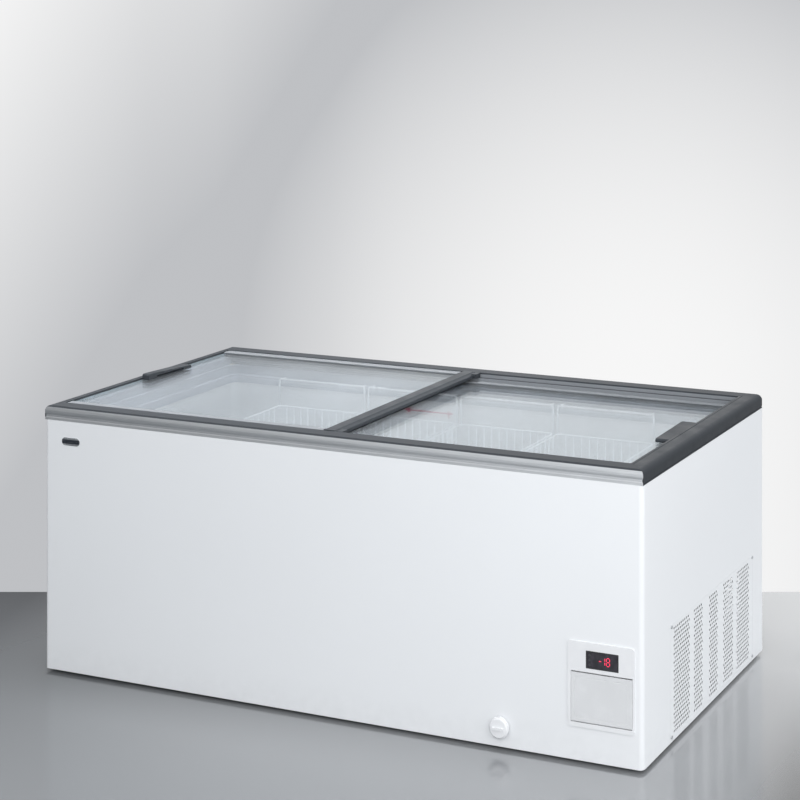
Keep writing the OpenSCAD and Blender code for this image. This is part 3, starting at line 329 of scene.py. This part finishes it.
# Colours of the frame's dark trim and grey strips, and how glossy the trim and the glass are
DARK_TRIM = (0.043, 0.048, 0.055)
STRIP_GREY = (0.23, 0.243, 0.26)
TRIM_SHEEN = 0.2
GLASS_HAZE = 0.05
GLASS_SHINE = 0.6

FINISHES = {
    "white_paint": lambda n: painted(n, (0.80, 0.815, 0.835), 0.45),
    "galvanised": lambda n: spangled(n, (0.62, 0.64, 0.66)),
    "screw_steel": lambda n: brushed(n, (0.74, 0.75, 0.77), 0.4, (1, 1, 1)),
    "grey_plastic": lambda n: moulded(n, (0.08, 0.083, 0.09)),
    "liner_white": lambda n: painted(n, (0.72, 0.728, 0.736), 0.4),
    "collar_grey": lambda n: moulded(n, (0.35, 0.372, 0.415), 0.5, sheen=0.1),
    "foam": lambda n: foam_finish(n, (0.72, 0.58, 0.3)),
    "rail_aluminium": lambda n: rail_finish(n, (0.66, 0.675, 0.695)),
    "dark_plastic": lambda n: moulded(n, DARK_TRIM, 0.4, sheen=TRIM_SHEEN),
    "white_plastic": lambda n: moulded(n, (0.80, 0.81, 0.83), 0.38),
    "flap_white": lambda n: moulded(n, (0.70, 0.71, 0.725), 0.4),
    "black_plastic": lambda n: moulded(n, (0.018, 0.018, 0.02), 0.4),
    "display_gloss": lambda n: window_finish(n, (0.022, 0.02, 0.026)),
    "display_red": lambda n: lit_finish(n, (0.62, 0.03, 0.075)),
    "board_green": lambda n: board_finish(n, (0.01, 0.12, 0.045)),
    "badge_dark": badge_finish,
    "mark_red": lambda n: printed_finish(n, (0.50, 0.04, 0.10)),
    "compressor_black": lambda n: painted(n, (0.02, 0.02, 0.022), 0.35),
    "grommet_rubber": lambda n: rubbery(n, (0.022, 0.022, 0.024)),
    "condenser_dark": lambda n: brushed(n, (0.2, 0.205, 0.21), 0.5, (1, 1, 0.05)),
    "motor_dark": lambda n: painted(n, (0.055, 0.055, 0.06), 0.5),
    "copper": lambda n: copper_finish(n, (0.74, 0.36, 0.22)),
    "lid_glass": glass_finish,
    "lid_edge_grey": lambda n: moulded(n, STRIP_GREY, 0.42, sheen=TRIM_SHEEN),
    "nylon": lambda n: moulded(n, (0.78, 0.76, 0.68), 0.5),
    "aluminium_blade": lambda n: brushed(n, (0.66, 0.67, 0.68), 0.35, (1, 0.1, 1)),
    "rocker_red": lambda n: moulded(n, (0.42, 0.015, 0.018), 0.25),
    "key_grey": lambda n: moulded(n, (0.04, 0.042, 0.047), 0.45),
    "basket_white": lambda n: painted(n, (0.84, 0.87, 0.9), 0.3),
}


def give_finishes():
    """Every CAD node gets the procedural finish of its slot in the record."""
    made = {entry["slot"]: FINISHES[entry["slot"]](entry["slot"]) for entry in RECORD["materials"]}
    for part in RECORD["subparts"]:
        mesh = NODES[part["node"]].data
        mesh.materials.clear()
        mesh.materials.append(made[part["material_slot"]])
    return made


# ---------------------------------------------------------------- edges of the CAD parts

# Radius in millimetres that each visible part's sharp edges are rounded to
EDGE_RADII = {
    "outer_wrap": 0.3,
    "front_rail": 0.5,
    "rear_rail": 0.5,
    "left_end_cap": 1.6,
    "right_end_cap": 1.6,
    "control_bezel": 0.9,
    "service_flap": 0.6,
    "drain_cap": 0.9,
    "badge_plate": 0.35,
    "controller_body": 0.4,
    "tub_collar": 1.5,
    "rear_service_cover": 0.25,
    "rear_panel": 0.25,
    "power_inlet": 0.5,
    "glide_feet": 0.4,
    "switch_housing": 0.5,
    "power_rocker": 0.5,
    "left_lid_glass": 0.4,
    "right_lid_glass": 0.4,
    "left_lid_edges": 0.5,
    "right_lid_edges": 0.5,
    "left_lid_bar": 0.9,
    "right_lid_bar": 0.9,
    "left_lid_handle": 1.3,
    "right_lid_handle": 1.0,
    "start_relay_box": 1.2,
    "fan_motor": 0.8,
}


def soften_edges(node, radius):
    """Rounds a CAD node's sharp edges with modifiers; its own mesh stays as packed."""
    obj = NODES[node]
    custom = obj.data.attributes.get("custom_normal")
    if custom is not None:
        obj.data.attributes.remove(custom)
    obj.data.shade_smooth()
    weld = obj.modifiers.new("weld", "WELD")
    weld.merge_threshold = 0.01 * MM
    flat = obj.modifiers.new("flats", "DECIMATE")
    flat.decimate_type = "DISSOLVE"
    flat.angle_limit = math.radians(0.5)
    bevel = obj.modifiers.new("edges", "BEVEL")
    bevel.width = radius * MM
    bevel.segments = 2
    bevel.limit_method = "ANGLE"
    bevel.angle_limit = math.radians(32)
    bevel.harden_normals = True


def spread_ink(node, reach):
    """Lets a printed mark bleed a little past its CAD outline."""
    obj = NODES[node]
    weld = obj.modifiers.new("weld", "WELD")
    weld.merge_threshold = 0.01 * MM
    bleed = obj.modifiers.new("bleed", "DISPLACE")
    bleed.strength = reach
    bleed.mid_level = 0.0


# ---------------------------------------------------------------- wire baskets


def rounded(points, radius, steps=4, closed=False):
    """The path through the points, with each corner turned into a bend."""
    count = len(points)
    path = []
    for i, corner in enumerate(points):
        if not closed and i in (0, count - 1):
            path.append(corner)
            continue
        before, after = points[i - 1], points[(i + 1) % count]
        start = corner + (before - corner).normalized() * radius
        end = corner + (after - corner).normalized() * radius
        for k in range(steps + 1):
            t = k / steps
            path.append((1 - t) ** 2 * start + 2 * t * (1 - t) * corner + t * t * end)
    return path


def add_wire(bm, path, radius, closed=False, sides=8):
    """Sweeps a round wire along the path."""
    count = len(path)
    rings = []
    side = None
    for i, point in enumerate(path):
        before = path[i - 1] if i or closed else point
        after = path[(i + 1) % count] if i < count - 1 or closed else point
        ahead = (after - before).normalized()
        if side is None:
            side = ahead.orthogonal().normalized()
        side = (side - ahead * side.dot(ahead)).normalized()
        up = ahead.cross(side)
        ring = []
        for k in range(sides):
            turn = 2 * math.pi * k / sides
            ring.append(bm.verts.new(point + radius * (math.cos(turn) * side + math.sin(turn) * up)))
        rings.append(ring)
    for i in range(count if closed else count - 1):
        a, b = rings[i], rings[(i + 1) % count]
        if closed and i == count - 1:
            shift = min(range(sides), key=lambda s: (a[0].co - b[s].co).length)
            b = b[shift:] + b[:shift]
        for k in range(sides):
            bm.faces.new((a[k], a[(k + 1) % sides], b[(k + 1) % sides], b[k]))
    if not closed:
        bm.faces.new(reversed(rings[0]))
        bm.faces.new(rings[-1])


# Wire sizes of a basket, and how its rim and hooks sit inside its CAD solid
RIM_WIRE = 2.5 * MM
GRID_WIRE = 1.5 * MM
SIDE_WIRE = GRID_WIRE * 1.2
WIRE_PITCH = 23 * MM
HOOK_REACH = 15 * MM
HANGER_RISE = 77.6 * MM
BEND = 14 * MM


def spread(low, high, pitch):
    """Evenly spaced places between low and high, about a pitch apart."""
    count = max(2, round((high - low) / pitch))
    return [low + (high - low) * i / count for i in range(1, count)]


def basket_frame(bm, lo, hi):
    """Rim, two side rings and the two hanger frames, all in thick wire."""
    rim_z = hi.z - RIM_WIRE - HANGER_RISE
    x0, x1 = lo.x + RIM_WIRE, hi.x - RIM_WIRE
    y0, y1 = lo.y + HOOK_REACH + RIM_WIRE, hi.y - HOOK_REACH - RIM_WIRE
    depth = rim_z - lo.z
    for z, radius in ((rim_z, RIM_WIRE), (lo.z + depth * 0.62, SIDE_WIRE), (lo.z + depth * 0.3, SIDE_WIRE)):
        ring = [Vector((x0, y0, z)), Vector((x1, y0, z)), Vector((x1, y1, z)), Vector((x0, y1, z))]
        add_wire(bm, rounded(ring, BEND, closed=True), radius, closed=True)
    top_z = hi.z - RIM_WIRE
    for y, rest_y in ((y0, lo.y + RIM_WIRE * 0.2), (y1, hi.y - RIM_WIRE * 0.2)):
        outline = ((x0, rim_z), (x0, top_z), (x1, top_z), (x1, rim_z))
        hanger = [Vector((x, y, z)) for x, z in outline]
        add_wire(bm, rounded(hanger, 8 * MM), RIM_WIRE)
        for x in (x0 + 8 * MM, x1 - 8 * MM):
            add_wire(bm, [Vector((x, y, top_z)), Vector((x, rest_y, top_z))], RIM_WIRE)
    return x0, x1, y0, y1, rim_z


def basket_grid(bm, x0, x1, y0, y1, rim_z, floor_z):
    """Thin wires, each bent down one wall, across the floor and up the other wall."""
    low = floor_z + GRID_WIRE
    inset = RIM_WIRE - GRID_WIRE
    for y in spread(y0, y1, WIRE_PITCH):
        a, b = x0 - inset, x1 + inset
        path = [Vector((a, y, rim_z)), Vector((a, y, low)), Vector((b, y, low)), Vector((b, y, rim_z))]
        add_wire(bm, rounded(path, BEND), GRID_WIRE, sides=6)
    low += 2 * GRID_WIRE
    for x in spread(x0, x1, WIRE_PITCH):
        a, b = y0 - inset, y1 + inset
        path = [Vector((x, a, rim_z)), Vector((x, a, low)), Vector((x, b, low)), Vector((x, b, rim_z))]
        add_wire(bm, rounded(path, BEND), GRID_WIRE, sides=6)


def mesh_piece(name, bm, material, body):
    """Turns a finished bmesh into a smooth piece that rides on a body."""
    bmesh.ops.recalc_face_normals(bm, faces=bm.faces)
    mesh = bpy.data.meshes.new(name)
    bm.to_mesh(mesh)
    bm.free()
    mesh.shade_smooth()
    mesh.materials.append(material)
    piece = bpy.data.objects.new(name, mesh)
    bpy.context.scene.collection.objects.link(piece)
    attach(piece, body)
    return piece


def make_basket(index, material):
    node = f"basket_{index}"
    lo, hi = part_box(node)
    bm = bmesh.new()
    sides = basket_frame(bm, lo, hi)
    basket_grid(bm, *sides, lo.z)
    piece = mesh_piece(f"wire_basket_{index}", bm, material, node)
    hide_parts(node)


# ---------------------------------------------------------------- studio

# The photo station: where the picture was taken from, as a level camera with a shifted lens
STATION = Vector((2.525, -3.841, 1.820))
STATION_YAW = math.radians(19.48)
LENS = 77.0
SHIFT = (-0.537, -0.545)

# The backdrop: how far off it stands, its size, and how far it clears the cabinet's rear corner
BACKDROP_DEPTH = 4.96
BACKDROP_REACH = 9.0
BACKDROP_HEIGHT = 7.0
BACKDROP_GAP = 0.16

# Middle and reach of the pool of light on the backdrop, across and up
POOL_MIDDLE = (-0.55, 0.55)
POOL_REACH = (1.26, 1.38)

# Strengths of the studio lights in watts, and of the air around them
KEY_FRONT = 40
KEY_SIDE = 14
TOP_SOFT = 10
AIR = 1.3

# The floor's half width, how mirror-like it is, and its tones, which are painted light and shade: painted
# shade on the left and towards the backdrop, a painted pool of light near the view and painted shade at the
# near right
FLOOR_REACH = 14.0
FLOOR_GLOSS = 2.2
FLOOR_FAR_LEFT = (0.012, 0.014, 0.017)
FLOOR_NEAR_LEFT = (0.16, 0.17, 0.18)
FLOOR_FAR_RIGHT = (0.50, 0.505, 0.51)
FLOOR_NEAR_RIGHT = (0.21, 0.218, 0.227)
FLOOR_PAINTED_SHADE = (0.005, 0.006, 0.008)
FLOOR_LIT = (0.6, 0.61, 0.62)


def shift_only_at_station(camera, station, path, shift):
    """Drives the lens shift so that it applies at the photo station and is zero anywhere else."""
    curve = camera.data.driver_add(path)
    curve.driver.type = "AVERAGE"
    gap = curve.driver.variables.new()
    gap.type = "LOC_DIFF"
    gap.targets[0].id = camera
    gap.targets[1].id = station
    for modifier in list(curve.modifiers):
        curve.modifiers.remove(modifier)
    for distance, value in ((0.0, shift), (0.1, 0.0)):
        key = curve.keyframe_points.insert(distance, value)
        key.interpolation = "LINEAR"
    curve.extrapolation = "CONSTANT"


def make_camera():
    data = bpy.data.cameras.new("photo_camera")
    data.lens = LENS
    camera = bpy.data.objects.new("photo_camera", data)
    camera.location = STATION
    camera.rotation_euler = (math.pi / 2, 0, STATION_YAW)
    station = bpy.data.objects.new("photo_station", None)
    station.location = STATION
    for item in (camera, station):
        bpy.context.scene.collection.objects.link(item)
    for path, shift in zip(("shift_x", "shift_y"), SHIFT):
        shift_only_at_station(camera, station, path, shift)
    bpy.context.scene.camera = camera


def stage_mesh(name, panels, material):
    """A stage piece made of flat four-cornered panels."""
    mesh = bpy.data.meshes.new(name)
    corners = [corner for panel in panels for corner in panel]
    mesh.from_pydata(corners, [], [tuple(range(i, i + 4)) for i in range(0, len(corners), 4)])
    mesh.materials.append(material)
    obj = bpy.data.objects.new(name, mesh)
    bpy.context.scene.collection.objects.link(obj)
    return obj


def station_axes():
    """The photo station's level directions: ahead and to the right."""
    ahead = Vector((-math.sin(STATION_YAW), math.cos(STATION_YAW), 0))
    right = Vector((math.cos(STATION_YAW), math.sin(STATION_YAW), 0))
    return ahead, right


def along(look, direction):
    """How far the shaded place lies from the photo station in a level direction."""
    node = look.add("ShaderNodeVectorMath", {"operation": "DOT_PRODUCT"})
    look.feed(node, 0, look.place)
    look.feed(node, 1, direction)
    return look.maths("SUBTRACT", node.outputs["Value"], STATION.dot(direction))


def floor_finish():
    """Plain floor with a soft sheen and painted light and shade: greyer on the left, paler on the right, a
    painted pool of light in front of the view and painted shade at the near right.
    """
    look = Look("studio_floor")
    ahead, right = station_axes()
    depth, side = along(look, ahead), along(look, right)
    # Painted light and shade: tones that change across and along the view.
    across = look.ramp(side, -2.3, -0.1)
    near = look.ramp(depth, BACKDROP_DEPTH, 3.6)
    left_tone = look.mix(near, FLOOR_FAR_LEFT, FLOOR_NEAR_LEFT)
    tone = look.mix(across, left_tone, look.mix(near, FLOOR_FAR_RIGHT, FLOOR_NEAR_RIGHT))
    # A painted pool of light on the floor in front of the view.
    lit = look.maths("MULTIPLY", look.ramp(depth, 3.4, 2.8), look.ramp(side, -3.6, -2.5))
    tone = look.mix(lit, tone, FLOOR_LIT)
    # Painted shade on the floor at the near right of the view.
    painted_shade = look.maths("MULTIPLY", look.ramp(near, 0.4, 1.0), look.ramp(side, -0.28, -0.08))
    tone = look.mix(painted_shade, tone, FLOOR_PAINTED_SHADE)
    rough = look.ramp(look.noise(5.0, 4.0), 0.3, 0.7, 0.12, 0.15)
    look.finish(tone, rough)
    look.surface.inputs["IOR"].default_value = FLOOR_GLOSS
    look.feed(look.surface, "Specular IOR Level", look.ramp(across, 0.1, 0.8, 0.2, 0.9))
    return look.material


def make_floor():
    reach = FLOOR_REACH
    corners = [(-reach, -reach, 0), (reach, -reach, 0), (reach, reach, 0), (-reach, reach, 0)]
    stage_mesh("studio_floor", [corners], floor_finish())


def backdrop_finish():
    """A glowing wall with a painted pool of light low on the right, a painted glow at the upper left and
    painted shade to the right of the view, and clear from behind.
    """
    look = Look("studio_backdrop")
    across = along(look, station_axes()[1])
    height = look.axis(look.place, 2)
    pool_x = look.maths("DIVIDE", look.maths("SUBTRACT", across, POOL_MIDDLE[0]), POOL_REACH[0])
    pool_z = look.ramp(height, POOL_MIDDLE[1], POOL_MIDDLE[1] + 2 * POOL_REACH[1], 0.0, 2.0)
    reach = look.maths("ADD", look.maths("MULTIPLY", pool_x, pool_x), look.maths("MULTIPLY", pool_z, pool_z))
    corner = look.maths("ADD", look.maths("MULTIPLY", across, -1.0), look.maths("MULTIPLY", height, 0.62))
    pool = look.maths("MAXIMUM", look.ramp(reach, 1.0, 0.0), look.ramp(corner, 2.56, 3.54))
    tone = look.mix(pool, (0.52, 0.53, 0.55), (0.93, 0.93, 0.93))
    # Painted shade: the wall turns dark grey to the right of the view.
    tone = look.mix(look.ramp(across, -0.05, 0.3), tone, (0.2, 0.2, 0.2))
    # The painted light and shade glow as emission.
    light = look.add("ShaderNodeEmission", Color=tone, Strength=1.0).outputs[0]
    clear = look.add("ShaderNodeBsdfTransparent").outputs[0]
    side = look.add("ShaderNodeNewGeometry").outputs["Backfacing"]
    one_sided = look.add("ShaderNodeMixShader", Fac=side)
    look.feed(one_sided, 1, light)
    look.feed(one_sided, 2, clear)
    look.tree.links.new(one_sided.outputs[0], look.output.inputs["Surface"])
    return look.material


def make_backdrop():
    """Pale wall behind the cabinet, seen only from the front, bent back round the cabinet's rear corner."""
    ahead, right = station_axes()
    lo, hi = cad_box
    rear_corner = Vector((lo.x, hi.y, 0)) - STATION
    past, beside = rear_corner.dot(ahead) + BACKDROP_GAP, rear_corner.dot(right)
    depth = BACKDROP_DEPTH
    line = [(-BACKDROP_REACH, depth), (beside - 0.2, depth), (beside - 0.1, past), (beside + 0.25, past)]
    line += [(beside + 0.55, depth), (BACKDROP_REACH, depth)]
    feet = [(STATION.xy.to_3d() + right * r + ahead * d) for r, d in line]
    top = Vector((0, 0, BACKDROP_HEIGHT))
    panels = [[tuple(p) for p in (a, b, b + top, a + top)] for a, b in zip(feet, feet[1:])]
    wall = stage_mesh("studio_backdrop", panels, backdrop_finish())
    wall.visible_shadow = False
    wall.visible_diffuse = False


def add_light(name, place, aim, size, power, beam=180.0):
    data = bpy.data.lights.new(name, "AREA")
    data.shape = "RECTANGLE"
    data.size, data.size_y = size
    data.energy = power
    data.spread = math.radians(beam)
    light = bpy.data.objects.new(name, data)
    light.location = place
    light.rotation_euler = (Vector(aim) - Vector(place)).to_track_quat("-Z", "Y").to_euler()
    light.visible_camera = False
    light.visible_glossy = False
    bpy.context.scene.collection.objects.link(light)


def make_lights():
    middle = (0, 0, 0.4)
    add_light("key_front", (2.0, -3.4, 2.2), middle, (2.0, 2.0), KEY_FRONT)
    add_light("key_side", (2.6, -1.6, 1.5), (0.85, -0.3, 0.5), (1.0, 1.0), KEY_SIDE)
    add_light("top_soft", (-0.5, 0, 3.4), (-0.5, 0, 0), (1.8, 0.8), TOP_SOFT, 50.0)


def make_world():
    """Studio air: bright to the right and darker to the left in reflections, plain and pale to the camera."""
    world = bpy.data.worlds.new("studio_air")
    world.use_nodes = True
    tree = world.node_tree
    plain = tree.nodes["Background"]
    plain.inputs["Color"].default_value = (0.86, 0.87, 0.88, 1.0)
    air = tree.nodes.new("ShaderNodeBackground")
    air.inputs["Color"].default_value = (0.94, 0.96, 0.98, 1.0)
    direction = tree.nodes.new("ShaderNodeSeparateXYZ")
    tree.links.new(tree.nodes.new("ShaderNodeTexCoord").outputs["Generated"], direction.inputs[0])
    ramp = tree.nodes.new("ShaderNodeMapRange")
    tree.links.new(direction.outputs[0], ramp.inputs["Value"])
    for key, value in zip(("From Min", "From Max", "To Min", "To Max"), (-0.66, -0.38, AIR * 0.12, AIR)):
        ramp.inputs[key].default_value = value
    tree.links.new(ramp.outputs[0], air.inputs["Strength"])
    seen = tree.nodes.new("ShaderNodeMixShader")
    tree.links.new(tree.nodes.new("ShaderNodeLightPath").outputs["Is Camera Ray"], seen.inputs[0])
    tree.links.new(air.outputs[0], seen.inputs[1])
    tree.links.new(plain.outputs[0], seen.inputs[2])
    tree.links.new(seen.outputs[0], tree.nodes["World Output"].inputs["Surface"])
    bpy.context.scene.world = world


def set_view():
    bpy.context.scene.view_settings.view_transform = "Standard"


finishes = give_finishes()
for node_name, edge_radius in EDGE_RADII.items():
    soften_edges(node_name, edge_radius)
spread_ink("load_line_mark", 1.5 * MM)
for basket_index in range(1, 5):
    make_basket(basket_index, finishes["basket_white"])
make_floor()
make_backdrop()
make_lights()
make_world()
make_camera()
set_view()
